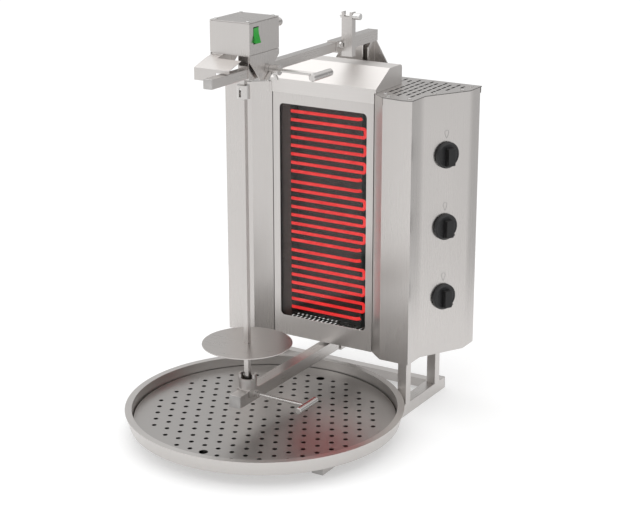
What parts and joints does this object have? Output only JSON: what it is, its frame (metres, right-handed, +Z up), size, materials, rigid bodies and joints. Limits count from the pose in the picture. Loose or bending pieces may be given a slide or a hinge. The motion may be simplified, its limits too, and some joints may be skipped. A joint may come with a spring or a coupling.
{
  "type": "electric skewer grill",
  "caption": "Upright electric grill with a glazed heater cabinet, motor-driven vertical skewer on sliding carriages and a round drip tray on a tube stand.",
  "frame": {"origin": "on the ground, on the middle plane, straight below the front face of the window panel and under the front cross tube of the stand", "axes": "+X towards the side with the knobs, -Y to the front, where the skewer stands, +Z up"},
  "size_m": [0.5577, 0.6883, 0.8387],
  "materials": {
    "brushed": "brushed",
    "polished": "polished",
    "zinc": "bright",
    "dark_steel": "satin",
    "plug_plastic": "matt",
    "black_plastic": "satin",
    "green_plastic": "gloss",
    "bronze": "satin",
    "ceramic": "matt",
    "glowing_tube": "matt",
    "pane": "clear"
  },
  "bodies": {
    "stand": {"base_frame": "brushed", "tube_plugs": "plug_plastic", "arm_hangers": "brushed", "lower_arm": "brushed", "upper_arm": "brushed", "arm_sleeve": "brushed", "sleeve_bolts": "zinc", "sleeve_tower": "brushed", "fork_post": "brushed", "body_floor": "brushed", "front_panel": "brushed", "window_glass": "pane", "glass_clips": "brushed", "reflector": "dark_steel", "element_bottom": "glowing_tube", "element_middle": "glowing_tube", "element_top": "glowing_tube", "element_comb": "dark_steel", "rod_screen": "dark_steel", "hood": "brushed", "left_wing": "brushed", "right_wing": "brushed", "left_cover": "brushed", "right_cover": "brushed", "cover_screws": "zinc", "deck_plate": "brushed", "back_panel": "brushed", "regulators": "ceramic", "terminal_block": "ceramic", "mains_gland": "black_plastic"},
    "fork_thumbscrew": {"fork_screw": "zinc"},
    "tray": {"drip_tray": "brushed"},
    "grate": {"tray_grate": "brushed"},
    "saddle": {"cup_saddle": "brushed", "bearing_cup": "brushed", "cup_bush": "bronze"},
    "lower_handle": {"lower_clamp": "polished"},
    "carriage": {"motor_carriage": "brushed", "carriage_guide": "brushed", "motor_housing": "brushed", "motor_lid": "brushed", "lid_screws": "zinc", "gear_motor": "dark_steel", "switch_frame": "black_plastic", "motor_gland": "brushed", "arm_shield": "brushed"},
    "rocker": {"rocker_switch": "green_plastic"},
    "upper_handle": {"upper_clamp": "polished"},
    "lock_nut": {"wing_nut": "polished"},
    "skewer": {"output_shaft": "polished", "collar_pin": "zinc", "skewer_bar": "polished", "meat_disc": "polished", "disc_pin": "zinc"},
    "collar": {"drive_collar": "polished"},
    "bottom_knob": {"knob_bottom": "black_plastic"},
    "middle_knob": {"knob_middle": "black_plastic"},
    "top_knob": {"knob_top": "black_plastic"}
  },
  "joints": [
    {"name": "carriage_slide", "type": "slide", "parent": "stand", "child": "carriage", "axis": [0, 1, 0], "range_m": [-0.02, 0.12]},
    {"name": "saddle_slide", "type": "slide", "parent": "stand", "child": "saddle", "axis": [0, 1, 0], "range_m": [-0.02, 0.12]},
    {"name": "skewer_spin", "type": "hinge", "parent": "carriage", "child": "skewer", "pos_m": [0, -0.284, 0.4], "axis": [0, 0, 1], "continuous": true},
    {"name": "collar_lift", "type": "slide", "parent": "skewer", "child": "collar", "axis": [0, 0, 1], "range_m": [0, 0.013]},
    {"name": "tray_slide", "type": "slide", "parent": "stand", "child": "tray", "axis": [0, -1, 0], "range_m": [0, 0.12]},
    {"name": "grate_lift", "type": "slide", "parent": "tray", "child": "grate", "axis": [0, 0, 1], "range_m": [0, 0.03]},
    {"name": "upper_clamp_turn", "type": "hinge", "parent": "carriage", "child": "upper_handle", "pos_m": [0.043, -0.258, 0.742], "axis": [1, 0, 0], "range_deg": [-180, 180]},
    {"name": "lock_nut_turn", "type": "hinge", "parent": "carriage", "child": "lock_nut", "pos_m": [0.043, -0.258, 0.742], "axis": [1, 0, 0], "range_deg": [-180, 180]},
    {"name": "lower_clamp_turn", "type": "hinge", "parent": "saddle", "child": "lower_handle", "pos_m": [0.016, -0.278, 0.099], "axis": [1, 0, 0], "range_deg": [-180, 180]},
    {"name": "fork_screw_turn", "type": "hinge", "parent": "stand", "child": "fork_thumbscrew", "pos_m": [0.0353, 0.02, 0.802], "axis": [1, 0, 0], "range_deg": [-180, 180]},
    {"name": "switch_rock", "type": "hinge", "parent": "carriage", "child": "rocker", "pos_m": [0.04, -0.305, 0.8115], "axis": [0, 1, 0], "range_deg": [0, 12]},
    {"name": "bottom_knob_turn", "type": "hinge", "parent": "stand", "child": "bottom_knob", "pos_m": [0.243, 0.0725, 0.2375], "axis": [0.8728, -0.488, 0], "range_deg": [0, 270]},
    {"name": "middle_knob_turn", "type": "hinge", "parent": "stand", "child": "middle_knob", "pos_m": [0.243, 0.0725, 0.386], "axis": [0.8728, -0.488, 0], "range_deg": [0, 270]},
    {"name": "top_knob_turn", "type": "hinge", "parent": "stand", "child": "top_knob", "pos_m": [0.243, 0.0725, 0.5345], "axis": [0.8728, -0.488, 0], "range_deg": [0, 270]}
  ],
  "couplings": [
    {"joint": "saddle_slide", "follows": "carriage_slide", "ratio": 1}
  ]
}
